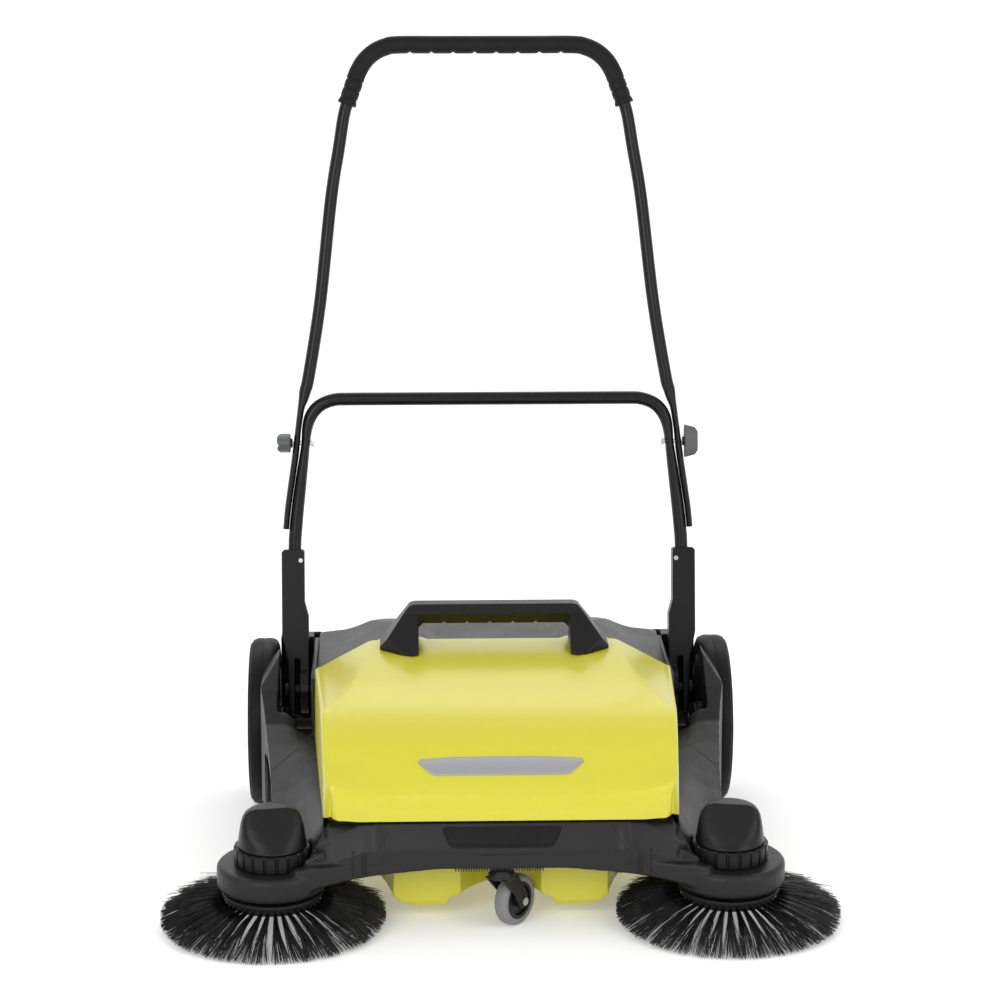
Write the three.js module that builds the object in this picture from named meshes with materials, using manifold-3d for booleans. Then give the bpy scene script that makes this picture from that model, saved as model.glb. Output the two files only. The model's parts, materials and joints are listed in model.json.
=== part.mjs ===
// Walk-behind sweeper: two side brushes, rear roller, lift-off container, folding push handle.
// Millimetres, +Z up, front faces -Y. Floor at z = 0.
import * as THREE from 'three';
import { mergeVertices } from 'three/addons/utils/BufferGeometryUtils.js';
import Module from 'manifold-3d';

const wasm = await Module();
wasm.setup();

// ---- driving dimensions ----
const GAP = 0.3;
const BRUSH_X = 287;            // side brush axis
const BRUSH_Y = -280;
const BRUSH_R = 143;            // radius at the bristle tips
const BRUSH_TILT = 4;           // degrees, front edge down
const POD_R = 70;
const BAR_HALF = 150;
const BAR_FRONT = -315;
const BAR_TOP = 140;
const WHEEL_R = 118;
const WHEEL_Y = 259;
const WHEEL_IN = 298;
const WHEEL_OUT = 339;
const GEAR_MODULE = 2;
const GEAR_TEETH = 46;
const PINION_TEETH = 20;
const ROLLER_R = 76.7;
const ROLLER_Z = 77;
const GEAR_CENTRES = GEAR_MODULE * (GEAR_TEETH + PINION_TEETH) / 2;
const ROLLER_Y = WHEEL_Y - Math.sqrt(GEAR_CENTRES ** 2 - (WHEEL_R - ROLLER_Z) ** 2);
const ROLLER_HALF = 232;
const PIVOT_Y = 245;
const PIVOT_Z = 167;
const LEAN = 10.49;             // handle, degrees back from vertical
const CLAMP_AT = 350;           // distances along the handle from the pivot
const CROSSBAR_AT = 412;
const GRIP_AT = 913;
const LOWER_TUBE_R = 9.2;
const UPPER_TUBE_R = 8.75;
const GRIP_R = 12.5;
const CASTOR_Y = -300;
const CASTOR_R = 33;
const CASTOR_TRAIL = 26;
const CASTOR_YAW = 50;          // degrees, trail direction from +X
const CONTAINER_BACK = 60;
const CONTAINER_FRONT = -305;

// ---- helpers ----
const D2R = Math.PI / 180;

function solid(source) {
  const g = source.clone();
  for (const name of ['normal', 'uv']) {
    if (g.attributes[name]) {
      g.deleteAttribute(name);
    }
  }
  const m = mergeVertices(g, 1e-3);
  const p = m.attributes.position;
  const tris = [];
  let volume = 0;
  const a = new THREE.Vector3();
  const b = new THREE.Vector3();
  const c = new THREE.Vector3();
  for (let i = 0; i < m.index.count; i += 3) {
    const t = [m.index.getX(i), m.index.getX(i + 1), m.index.getX(i + 2)];
    if (t[0] !== t[1] && t[1] !== t[2] && t[0] !== t[2]) {
      tris.push(t);
      a.fromBufferAttribute(p, t[0]);
      b.fromBufferAttribute(p, t[1]);
      c.fromBufferAttribute(p, t[2]);
      volume += a.dot(b.cross(c));
    }
  }
  const order = volume < 0 ? tris.map((t) => [t[0], t[2], t[1]]) : tris;
  return new wasm.Manifold(new wasm.Mesh({
    numProp: 3,
    vertProperties: new Float32Array(p.array),
    triVerts: new Uint32Array(order.flat()),
  }));
}

function geometry(body) {
  const mesh = body.getMesh();
  const g = new THREE.BufferGeometry();
  g.setAttribute('position', new THREE.BufferAttribute(new Float32Array(mesh.vertProperties), 3));
  g.setIndex(new THREE.BufferAttribute(new Uint32Array(mesh.triVerts), 1));
  return g;
}

function union(parts) {
  return parts.reduce((sum, part) => sum.add(part));
}

// drops the slivers a boolean can leave beside the body
function largest(body) {
  return body.decompose().sort((p, q) => q.volume() - p.volume())[0];
}

function mirrored(source) {
  const g = source.clone();
  g.scale(-1, 1, 1);
  const index = g.index.array;
  for (let i = 0; i < index.length; i += 3) {
    const keep = index[i];
    index[i] = index[i + 1];
    index[i + 1] = keep;
  }
  return g;
}

function box(x0, x1, y0, y1, z0, z1) {
  const g = new THREE.BoxGeometry(x1 - x0, y1 - y0, z1 - z0);
  g.translate((x0 + x1) / 2, (y0 + y1) / 2, (z0 + z1) / 2);
  return solid(g);
}

function shapeOf(points) {
  return new THREE.Shape(points.map(([u, v]) => new THREE.Vector2(u, v)));
}

// polygon in the YZ plane, from x0 to x1
function prismX(points, x0, x1) {
  const g = new THREE.ExtrudeGeometry(shapeOf(points), { depth: x1 - x0, bevelEnabled: false });
  g.applyMatrix4(new THREE.Matrix4().set(0, 0, 1, x0, 1, 0, 0, 0, 0, 1, 0, 0, 0, 0, 0, 1));
  return solid(g);
}

// polygon in the XZ plane, from y0 to y1
function prismY(points, y0, y1) {
  const g = new THREE.ExtrudeGeometry(shapeOf(points), { depth: y1 - y0, bevelEnabled: false });
  g.applyMatrix4(new THREE.Matrix4().set(1, 0, 0, 0, 0, 0, -1, y1, 0, 1, 0, 0, 0, 0, 0, 1));
  return solid(g);
}

// polygon in the XY plane, from z0 to z1
function prismZ(points, z0, z1) {
  const g = new THREE.ExtrudeGeometry(shapeOf(points), { depth: z1 - z0, bevelEnabled: false });
  g.translate(0, 0, z0);
  return solid(g);
}

// block whose top follows top(x, y) between the inner and outer edges in plan
function mouldedBlock(inner, outer, stations, across, base, top) {
  const g = new THREE.BoxGeometry(1, 1, 1, across, stations.length - 1, 1);
  const p = g.attributes.position;
  for (let i = 0; i < p.count; i += 1) {
    const y = stations[Math.round((p.getY(i) + 0.5) * (stations.length - 1))];
    const x = inner(y) + (outer(y) - inner(y)) * (p.getX(i) + 0.5);
    p.setXYZ(i, x, y, p.getZ(i) > 0 ? top(x, y) : base);
  }
  return solid(g);
}
function along(table, v) {
  const k = Math.min(Math.max(table.findIndex(([u]) => u >= v), 1), table.length - 1);
  const [[u0, a], [u1, b]] = [table[k - 1], table[k]];
  return a + (b - a) * Math.min(1, Math.max(0, (v - u0) / (u1 - u0)));
}
function cylinderX(y, z, r, x0, x1, sides = 20) {
  const g = new THREE.CylinderGeometry(r, r, x1 - x0, sides);
  g.rotateZ(-Math.PI / 2);
  g.translate((x0 + x1) / 2, y, z);
  return solid(g);
}

function cylinderZ(x, y, r, z0, z1, sides = 20) {
  const g = new THREE.CylinderGeometry(r, r, z1 - z0, sides);
  g.rotateX(Math.PI / 2);
  g.translate(x, y, (z0 + z1) / 2);
  return solid(g);
}

// profile of [radius, height], turned about the Z axis
function turned(profile, sides = 32) {
  const g = new THREE.LatheGeometry(profile.map(([r, h]) => new THREE.Vector2(r, h)), sides);
  g.rotateX(Math.PI / 2);
  return g;
}

// profile of [radius, x], turned about an axis along X
function wheelLike(profile, y, z, sides = 24) {
  const g = turned(profile, sides);
  g.rotateY(Math.PI / 2);
  g.translate(0, y, z);
  return solid(g);
}

function ellipse(rx, ry, sides) {
  return Array.from({ length: sides }, (_, i) => {
    const t = 2 * Math.PI * (i + 0.5) / sides;
    return [rx * Math.cos(t), ry * Math.sin(t)];
  });
}

// smooth path with one cross-section at each of its points
class PointPath extends THREE.CatmullRomCurve3 {
  getPointAt(u, target) {
    return this.getPoint(u, target);
  }

  getTangentAt(u, target) {
    return this.getTangent(u, target);
  }
}

function tubeThrough(vectors, rx, ry, sides) {
  const path = new PointPath(vectors, false, 'centripetal');
  const options = { steps: vectors.length - 1, extrudePath: path, bevelEnabled: false };
  return solid(new THREE.ExtrudeGeometry(shapeOf(ellipse(rx, ry, sides)), options));
}

// tube standing along the handle, from [along, x, half width, half depth] stations
function pressedTube(stations, wall, past = 0) {
  const column = (n) => stations.map((row) => [row[0], row[n]]);
  const from = stations[0][0] - past;
  const to = stations[stations.length - 1][0] + past;
  const g = new THREE.CylinderGeometry(1, 1, 1, 12, stations.length - 1);
  g.rotateX(Math.PI / 2);
  const p = g.attributes.position;
  for (let i = 0; i < p.count; i += 1) {
    const row = Math.round((p.getZ(i) + 0.5) * (stations.length - 1));
    const at = row === 0 ? from : row === stations.length - 1 ? to : stations[row][0];
    p.setXYZ(i, along(column(1), at) + p.getX(i) * (along(column(2), at) - wall),
      p.getY(i) * (along(column(3), at) - wall), at);
  }
  return solid(g);
}

// tube along [x, along] points in the handle plane, before the handle leans back
function handleTube(points, rx, ry, sides = 10) {
  return tubeThrough(points.map(([x, s]) => new THREE.Vector3(x, 0, s)), ry, rx, sides);
}

function leaned(body) {
  const g = geometry(body);
  g.rotateX(-LEAN * D2R);
  g.translate(0, PIVOT_Y, PIVOT_Z);
  return g;
}

// side brush parts are drawn on the Z axis and then tilted and placed
function placedOnBrush(body) {
  const g = geometry(body);
  g.rotateX(BRUSH_TILT * D2R);
  g.translate(BRUSH_X, BRUSH_Y, 0);
  return g;
}

function gearOutline(teeth, phase, backlash = 0.3) {
  const rp = GEAR_MODULE * teeth / 2;
  const rb = rp * Math.cos(20 * D2R);
  const root = rp - 1.25 * GEAR_MODULE;
  const tip = rp + GEAR_MODULE;
  const inv = (t) => Math.tan(t) - t;
  const halfAtPitch = Math.PI / (2 * teeth) - backlash / (2 * rp);
  const half = (r) => halfAtPitch + inv(20 * D2R) - inv(Math.acos(Math.min(1, rb / r)));
  const radii = [root, tip];
  const points = [];
  for (let i = 0; i < teeth; i += 1) {
    const centre = phase + 2 * Math.PI * i / teeth;
    for (const r of radii) {
      points.push([r * Math.cos(centre - half(r)), r * Math.sin(centre - half(r))]);
    }
    for (const r of [...radii].reverse()) {
      points.push([r * Math.cos(centre + half(r)), r * Math.sin(centre + half(r))]);
    }
  }
  return points;
}

const sweeper = new THREE.Group();
sweeper.name = 'sweeper';

const FINISH = {
  black: [0x26272a, 0.55, 0.0],
  satin: [0x2e2f33, 0.45, 0.0],
  yellow: [0xe6d92c, 0.4, 0.0],
  tube: [0x151517, 0.25, 0.4],
  grey: [0x6a6b6e, 0.6, 0.0],
  silver: [0xa6a8ab, 0.4, 0.3],
  rubber: [0x1c1c1e, 0.85, 0.0],
  greyRubber: [0x808284, 0.8, 0.0],
  bristle: [0x121214, 0.9, 0.0],
  steel: [0xb4b7ba, 0.3, 0.9],
};

function put(name, g, finish) {
  const flat = g.index ? g.toNonIndexed() : g;
  flat.computeVertexNormals();
  const [color, roughness, metalness] = FINISH[finish];
  const mesh = new THREE.Mesh(flat, new THREE.MeshStandardMaterial({ color, roughness, metalness }));
  mesh.name = name;
  sweeper.add(mesh);
}

function putPair(name, g, finish) {
  put(`${name}_right`, g, finish);
  put(`${name}_left`, mirrored(g), finish);
}

// ---- chassis: front bar ----
const barProfile = [
  [BAR_FRONT, 76], [-268, 76], [-268, BAR_TOP],
  [-300, BAR_TOP], [BAR_FRONT, 108],
];
const barFace = [[-BAR_HALF, 77], [-78, 84], [78, 84], [BAR_HALF, 77], [BAR_HALF, 146],
  [-BAR_HALF, 146]];
const frontBar = prismX(barProfile, -BAR_HALF, BAR_HALF)
  .intersect(prismY(barFace, -330, -250))
  .subtract(cylinderZ(0, CASTOR_Y, 6.1, 60, 116, 24));
put('front_bar', geometry(frontBar), 'black');

const padFace = [[-302.95, 134.7], [-313.5, 112.2], [-314.5, 112.6], [-303.95, 135.1]];
const padOutline = prismY([[-76, 136], [76, 136], [64, 110.5], [-64, 110.5]], -330, -290);
put('front_pad', geometry(prismX(padFace, -90, 90).intersect(padOutline)), 'rubber');

// ---- chassis: side frames with brush pod, belt channel, wheel fender and bearing plate ----
const podOuter = solid(placedOnBrush(solid(turned([[0, 58], [68, 58], [POD_R, 60], [POD_R, 84],
  [66, 88], [0, 88]], 36))));
const podHollow = solid(placedOnBrush(solid(turned([[0, 40], [66.8, 40], [66.8, 84], [0, 84]]))));
const podHole = solid(placedOnBrush(solid(turned([[0, 80], [5.5, 80], [5.5, 95], [0, 95]], 24))));
const knobClear = solid(placedOnBrush(solid(turned([[0, 88.1], [50, 88.1], [50, 180], [0, 180]]))));
const armPlan = [
  [BAR_HALF + GAP, BAR_FRONT], [181, -317], [206, -324], [232, -334], [255, -342],
  [287, -300], [270, -205], [216, -215], [216, -268], [BAR_HALF + GAP, -268],
];
const armFace = [[BAR_HALF + GAP, 77], [181, 73], [262, 61], [290, 61], [290, 88], [262, 91], [230, 104],
  [203, 119], [188, 132], [178, BAR_TOP], [BAR_HALF + GAP, BAR_TOP]];
const armBar = prismX([
  [-317, 60], [-268, 60], [-268, BAR_TOP], [-300, BAR_TOP], [-317, 108],
], BAR_HALF + GAP, 290).intersect(prismZ(armPlan, 50, 140)).intersect(prismY(armFace, -350, -200));
const armPlate = prismZ(armPlan, 60, 92).intersect(prismY(armFace, -350, -200));

// deck beside the container: high along the container, falling to the pod and rising to the fender
const deckInner = (y) => along([[-300, 216], [62, 234.5]], y);
const deckOuter = (y) => along([[-300, 282], [-200, 290], [-120, 293], [-98, 296], [-42, 299], [26, 306],
  [66, 310], [90, 314]], y);
const innerTop = (y) => along([[-300, 134], [-285, BAR_TOP - 1], [-262, BAR_TOP], [0, 147], [62, 150],
  [90, 152]], y);
const outerTop = (y) => along([[-300, 86], [-225, 92], [-98, 118], [0, 146], [62, 168], [78, 182]], y);
const fallFrom = (y) => along([[-300, 216], [-262, 222], [-150, 236], [90, 240]], y);
const fallTo = (y) => along([[-300, 252], [-262, 258], [-150, 290], [90, 290]], y);
function deckTop(x, y) {
  const t = Math.min(1, Math.max(0, (x - fallFrom(y)) / (fallTo(y) - fallFrom(y))));
  return innerTop(y) + (outerTop(y) - innerTop(y)) * t * t * (3 - 2 * t);
}
const deckStations = [-300, -285, -262, -225, -180, -130, -98, -60, -20, 15, 45, 62, 78];
const deck = mouldedBlock(deckInner, deckOuter, deckStations, 8, 62, deckTop);
const deckProfile = [[60, 62], [60, 146], [133, 146], [136, 100], [136, 45], [-120, 45], [-125, 64]];
const channel = [[-245, 20], [-245, 84], [0, 128], [48, 137], [48, 122], [150, 122], [150, 20]];
const fenderProfile = [
  [-120, 45], [-125, 62], [-98, 62], [-98, 110], [0, 142], [62, 164], [66, 171.5], [102, 205], [152, 241],
  [196, 241], [200, 226], [171, 204], [147, 168], [137, 130], [137, 100], [141, 62], [130, 45],
];
const plateProfile = [[62, 60], [90, 30], [334, 30], [334, 165], [318, 215], [290, 243], [84, 243],
  [62, 215]];
const fenderPlan = prismZ([[276, -130], [293, -130], [296, -98], [299, -42], [306, 26], [310, 66], [314, 90],
  [318, 108], [318, 220], [276, 220]], 20, 260);
const fenderBevel = prismY([[288, 250], [330, 250], [330, 186], [316, 211], [294, 241]], 40, 220);
const sideFrame = union([
  podOuter,
  armPlate,
  armBar,
  deck,
  prismX(deckProfile, 245, 312).intersect(fenderPlan.add(box(240, 277, -140, 140, 20, 260))),
  prismX(fenderProfile, 294, 318).subtract(fenderBevel).intersect(fenderPlan),
  prismX(plateProfile, 241, 247.5),
  cylinderX(WHEEL_Y, WHEEL_R, 12, 247, 285, 24),
])
  .subtract(podHollow)
  .subtract(podHole)
  .subtract(knobClear)
  .subtract(prismX(channel, 256, 311))
  .subtract(box(262, 311, -232, -195, 40, 82))
  .subtract(box(247.6, 268, 62, 150, 128, 220))
  .subtract(box(247.6, 293.6, 78.1, 150, 146, 220))
  .subtract(box(247.6, 293.6, 100, 290, 128, 260))
  .subtract(box(150, 216.2, -262, 60, 0, 140))
  .subtract(cylinderX(WHEEL_Y, WHEEL_R, 6.3, 230, 300, 24))
  .subtract(cylinderX(PIVOT_Y, PIVOT_Z, 6.3, 230, 260, 24))
  .subtract(cylinderX(ROLLER_Y, ROLLER_Z, 12.3, 230, 260, 24));
putPair('side_frame', geometry(sideFrame), 'black');

// ---- chassis: roller hood, flap, bushes, pins and axles ----
const hoodTop = [[-292, 236], [-240.5, 246], [-205, 252], [-150, 271], [-92, 275], [-78, 263],
  [78, 263], [92, 275], [150, 271], [205, 252], [240.5, 246], [292, 236]];
const lowered = (points, drop) => points.map(([u, v]) => [u, v - drop]);
const hoodSolid = (x1, drop, profile, y0, y1) => prismX(profile, -x1, x1)
  .intersect(prismY([...lowered(hoodTop, drop), [292, 20], [-292, 20]], y0, y1));
const hoodOuter = [[64, 205], [64, 262], [110, 275], [200, 275], [270, 264], [320, 226], [338, 170],
  [338, 70], [64, 70]];
const hoodInner = [[40, 60], [40, 250], [69, 257], [110, 270], [200, 270], [267, 259], [316, 222],
  [333, 168], [333, 60]];
const hood = hoodSolid(240.5, 0, hoodOuter, 60, 345)
  .subtract(hoodSolid(250, 5, hoodInner, 30, 344))
  .subtract(box(-250, 250, 60, 80, 0, 205))
  .add(hoodSolid(292, 0, [[306, 236], [338, 236], [338, 60], [306, 60]], 306, 338)
    .subtract(box(-240, 240, 300, 340, 20, 300))
    .subtract(box(-250, 250, 300, 334.5, 20, 244)));
put('roller_hood', geometry(hood), 'satin');
put('rear_flap', geometry(box(-234, 234, 329, 332.5, 6, 100)), 'rubber');

const bush = wheelLike([[6.2, 236], [12, 236], [12, 252], [6.2, 252], [6.2, 236]],
  ROLLER_Y, ROLLER_Z, 20);
putPair('roller_bush', geometry(bush), 'grey');
const pivotPin = cylinderX(PIVOT_Y, PIVOT_Z, 6, 236, 286, 20)
  .add(cylinderX(PIVOT_Y, PIVOT_Z, 9, 284.6, 289, 20))
  .add(cylinderX(PIVOT_Y, PIVOT_Z, 8.5, 234, 240.4, 20));
putPair('pivot_pin', geometry(pivotPin), 'steel');
const stub = cylinderX(WHEEL_Y, WHEEL_R, 6, 235, 336, 20)
  .add(cylinderX(WHEEL_Y, WHEEL_R, 9, 233, 240.4, 20));
putPair('wheel_axle', geometry(stub), 'steel');

// ---- drive belts ----
function belt() {
  const points = [];
  const at = (x, y, z) => points.push(new THREE.Vector3(x, y, z));
  const wheelRun = 21.7;
  const drumRun = 22.8;
  const drumY = BRUSH_Y - 66 * Math.tan(BRUSH_TILT * D2R);
  at(290, WHEEL_Y - 90, 126);
  at(290, WHEEL_Y - 40, WHEEL_R + 16.5);
  for (const a of [95, 60, 30, 0, -30, -60, -95]) {
    at(290, WHEEL_Y + wheelRun * Math.cos(a * D2R), WHEEL_R + wheelRun * Math.sin(a * D2R));
  }
  at(290, WHEEL_Y - 60, 88);
  at(290, 60, 74);
  at(282, -120, 68);
  at(266, -230, 66);
  for (const a of [180, 210, 240, 270, 300, 330, 360]) {
    at(BRUSH_X + drumRun * Math.cos(a * D2R), drumY + drumRun * Math.sin(a * D2R),
      66 + 0.06 * drumRun * Math.sin(a * D2R));
  }
  at(306, -230, 68);
  at(299, -120, 82);
  at(292, 60, 104);
  at(291, 125, 113);
  at(290.1, WHEEL_Y - 90.6, 125.9);
  return tubeThrough(points, 2, 2, 5);
}
putPair('drive_belt', geometry(belt()), 'rubber');

// ---- container ----
const shellProfile = [
  [CONTAINER_FRONT, 145], [-304.6, 157], [-302, 168.5], [-297.5, 178], [-284.5, 193.3], [-257, 219],
  [-237, 233.4], [-212, 245.9], [-184, 256], [-150, 264.5], [-80, 277.5], [0, 285.3], [52, 286.2],
  [CONTAINER_BACK, 280], [CONTAINER_BACK, 14], [-250, 14],
  [-262, 24], [-263, 142.5], [-300, 142.5],
];
const hollowProfile = [
  [-300.5, 147], [-300, 157], [-297.8, 167], [-294, 175], [-281.5, 190.3], [-254.5, 215.5],
  [-234.5, 229.6], [-210, 241.8], [-182, 251.9], [-149, 260.3], [-80, 273.3], [0, 281.3], [46, 281.8],
  [56, 276], [56, 210], [70, 210], [70, 18], [-248, 18], [-258, 26],
  [-258.8, 147],
];
const upperPlan = (t) => [
  [-205 + t, CONTAINER_FRONT], [-218 + t, -300], [-223 + t, -288], [-242 + t, 70],
  [242 - t, 70], [223 - t, -288], [218 - t, -300], [205 - t, CONTAINER_FRONT],
];
const lowerPlan = (t) => [
  [-212 + t, -270], [-213 + t, -262], [-231 + t, 70], [231 - t, 70], [213 - t, -262], [212 - t, -270],
];
const shoulders = (t) => [
  [-250, 0], [-250, 232 - t], [-245, 242 - t], [-166, 285 - t], [-150, 289 - t],
  [150, 289 - t], [166, 285 - t], [245, 242 - t], [250, 232 - t], [250, 0],
];
const aboveRail = (lift) => prismX([
  [-310, 142.5 + lift], [-262, 142.5 + lift], [0, 149.5 + lift], [75, 152.6 + lift], [75, 300], [-310, 300],
], -250, 250);
function containerBody(profile, t, lift) {
  return prismX(profile, -250, 250)
    .intersect(prismZ(upperPlan(t), 0, 300).intersect(aboveRail(lift)).add(prismZ(lowerPlan(t), 0, 215)))
    .intersect(prismY(shoulders(t), -320, 80));
}
const brushClear = (grow) => union([-1, 1].map((s) => cylinderZ(s * BRUSH_X, BRUSH_Y, 152 + grow, -5,
  66 + grow, 32)));
const castorClear = (grow) => cylinderZ(0, CASTOR_Y, 64 + grow, -5, 78 + grow, 24);
// underside: raised arch between two feet, and corners slanting up towards the side brushes
const underside = (grow) => union([
  prismY([[-70 - grow, 0], [-67 - grow, 30 + grow], [-20, 42 + grow], [20, 42 + grow],
    [67 + grow, 30 + grow], [70 + grow, 0]], -262, -150 + grow),
  ...[-1, 1].map((s) => prismY([[s * (116 - grow), 0], [s * (116 - grow), 17 + grow], [s * 168, 52 + grow],
    [s * 240, 56 + grow], [s * 240, 0]], -280, -130 + grow)),
]);
const container = containerBody(shellProfile, 0, 0)
  .subtract(brushClear(0))
  .subtract(castorClear(0))
  .subtract(underside(0))
  .subtract(containerBody(hollowProfile, 4, 4).subtract(brushClear(4)).subtract(castorClear(4))
    .subtract(underside(4)));
put('container_shell', geometry(container), 'yellow');

const carryOutline = [[-153, 270], [-153, 290], [-113, 341], [-106, 343], [106, 343], [113, 341],
  [153, 290], [153, 270]];
const carryGap = [[-101, 270], [-101, 307], [-95, 313], [95, 313], [101, 307], [101, 270]];
const carryProfile = [[48, 270], [48, 343], [22, 343], [22, 331], [-32, 276], [-32, 270]];
const carryPlan = [[-153, 50], [-153, 2], [-116, -28], [-101, -20], [-101, 10], [101, 10], [101, -20],
  [116, -28], [153, 2], [153, 50]];
const carryFloor = [[-80, 277.9], [0, 285.7], [52, 286.6], [80, 286.6], [80, 200], [-80, 200]];
const carryStrap = prismY(carryOutline, -40, 48)
  .intersect(prismX(carryProfile, -160, 160))
  .intersect(prismZ(carryPlan, 250, 350))
  .subtract(prismY(carryGap, -40, 60))
  .subtract(prismX([[0, 300], [0, 329.5], [22, 329.5], [38, 313], [38, 300]], -101, 101))
  .subtract(prismX(carryFloor, -160, 160));
put('carry_handle', geometry(carryStrap), 'satin');

const plateLow = [-283.7, 195.5];
const plateHigh = [-263.3, 214.5];
const off = (p, d) => [p[0] - d * 0.682, p[1] + d * 0.731];
const plateSlab = prismX([off(plateLow, 0.4), off(plateHigh, 0.4), off(plateHigh, 2.2),
  off(plateLow, 2.2)], -120, 120);
const plateShape = prismY([[-86, 190], [86, 190], [104.5, 208], [102, 211.5], [60, 213.5], [0, 214],
  [-60, 213.5], [-102, 211.5], [-104.5, 208]], -300, -240);
put('nameplate', geometry(plateSlab.intersect(plateShape)), 'silver');

// ---- handle: brackets, lower tube ----
const bracketOutline = [
  [290, 199], [293, 195.5], [293, 80], [285, 40], [284, -22], [281, -34], [275, -34], [275, 45], [268, 45],
  [268, 0], [250, 0], [250, 105], [260, 125], [260, 196], [263, 199],
];
const bracket = prismY(bracketOutline, -15, 15)
  .add(cylinderX(0, 0, 34, 250, 268, 24))
  .subtract(cylinderX(0, 0, 6.3, 240, 300, 24))
  .subtract(box(270, 300, 15.1, 40, -60, 40))
  .subtract(cylinderZ(274.5, 0, 9.6, 132, 210, 24))
  .subtract(prismY(ellipse(3.6, 3.6, 12).map(([u, v]) => [u + 266, v + 184]), -20, -12.6))
  .subtract(prismY(ellipse(1.6, 1.6, 12).map(([u, v]) => [u + 266, v + 184]), -20, -7));
putPair('bracket', leaned(bracket), 'satin');
const screw = prismY(ellipse(3.2, 3.2, 12).map(([u, v]) => [u + 266, v + 184]), -14.4, -12.9)
  .add(prismY(ellipse(1.3, 1.3, 12).map(([u, v]) => [u + 266, v + 184]), -13, -8));
putPair('bracket_screw', leaned(screw), 'steel');

const clampHoles = cylinderX(0, CLAMP_AT, 3.2, -300, 300, 16);
const onBothSides = (body) => body.add(solid(mirrored(geometry(body))));
const acrossX = (points) => [...points, ...[...points].reverse().map(([x, s]) => [-x, s])];

const lowerLeg = [
  [134, 274.5, 9.2, 9.2], [202, 274.5, 9.2, 9.2], [228, 272.9, 9.2, 9.2], [255, 270.3, 9, 9.4],
  [280, 267.2, 8.5, 9.6], [305, 264, 7.8, 9.8], [330, 260.8, 7.2, 10], [350, 258.3, 6.7, 10],
  [370, 256, 7.4, 9.8], [388, 250.6, 9.1, 9.2],
];
const lowerBend = [[252, 385.5], [246, 395.3], [238, 403], [228, 408.2], [216, 411.3], [200, CROSSBAR_AT]];
function lowerTube(wall, past) {
  const r = LOWER_TUBE_R - wall;
  return onBothSides(pressedTube(lowerLeg, wall, past)).add(handleTube(acrossX(lowerBend), r, r));
}
const lower = lowerTube(0, 0).subtract(lowerTube(1.5, 5)).subtract(clampHoles);
put('lower_tube', leaned(largest(lower)), 'tube');

// ---- handle: upper tube and grip ----
const upperSide = [[259.4, 418], [236, 552], [220, 695], [208, 770], [200, 818]];
const upperTail = [
  [228, 286.8, 4.3, 10], [255, 284.2, 4.5, 10], [280, 280.65, 4.6, 10], [305, 276.9, 4.75, 10],
  [330, 273.2, 4.85, 10], [350, 270.5, 5, 10], [370, 268.4, 4.65, 10], [398, 264.6, 5, 10],
  [412, 261.3, 7.2, 9.4], [424, 258.6, 8.6, 8.8],
];
const upperBend = [[187.5, 856], [182, 872], [172, 889], [158, 902], [142, 910], [124, GRIP_AT]];
function upperTube(wall, past) {
  const r = UPPER_TUBE_R - wall;
  const round = handleTube(acrossX([...upperSide, ...upperBend]), r, r);
  return onBothSides(pressedTube(upperTail, wall, past)).add(round);
}
const upper = upperTube(0, 0).subtract(upperTube(1.5, 5)).subtract(clampHoles);
put('upper_tube', leaned(largest(upper)), 'tube');
const sleeve = handleTube(acrossX([[204.5, 800], [200, 818], ...upperBend]), GRIP_R, GRIP_R);
const sleeveBore = handleTube(acrossX([[236, 552], [220, 695], [208, 770], [200, 818], ...upperBend]),
  UPPER_TUBE_R + 0.4, UPPER_TUBE_R + 0.4);
const grip = sleeve.subtract(sleeveBore).subtract(box(-300, 300, -50, 50, 780, 829));
put('grip_sleeve', leaned(grip), 'rubber');

// ---- handle: clamps ----
const bolt = cylinderX(0, CLAMP_AT, 2.9, 246.6, 292, 16)
  .add(cylinderX(0, CLAMP_AT, 5.2, 247.2, 250.4, 6));
putPair('clamp_bolt', leaned(bolt), 'steel');
const spacer = wheelLike([[3.3, 276.7], [6.5, 276.7], [6.5, 279.5], [3.3, 279.5], [3.3, 276.7]],
  0, CLAMP_AT, 20);
putPair('clamp_spacer', leaned(spacer), 'black');
function wingKnob(upright) {
  const wide = upright ? 13.5 : 26;
  const tall = upright ? 26 : 13.5;
  const waist = upright ? [0.75, 1] : [1, 0.75];
  const outline = ellipse(wide, tall, 24).map(([u, v]) => [u, CLAMP_AT + v]);
  return prismX(outline, 279.8, 298)
    .intersect(prismY([[270, CLAMP_AT - tall], [294, CLAMP_AT - tall * waist[0]],
      [298, CLAMP_AT - tall * 0.7 * waist[0]], [298, CLAMP_AT + tall * 0.7 * waist[0]],
      [294, CLAMP_AT + tall * waist[0]], [270, CLAMP_AT + tall]], -40, 40))
    .subtract(cylinderX(0, CLAMP_AT, 3.2, 270, 293, 16));
}
put('wing_knob_right', leaned(wingKnob(true)), 'grey');
put('wing_knob_left', mirrored(leaned(wingKnob(false))), 'grey');

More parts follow.
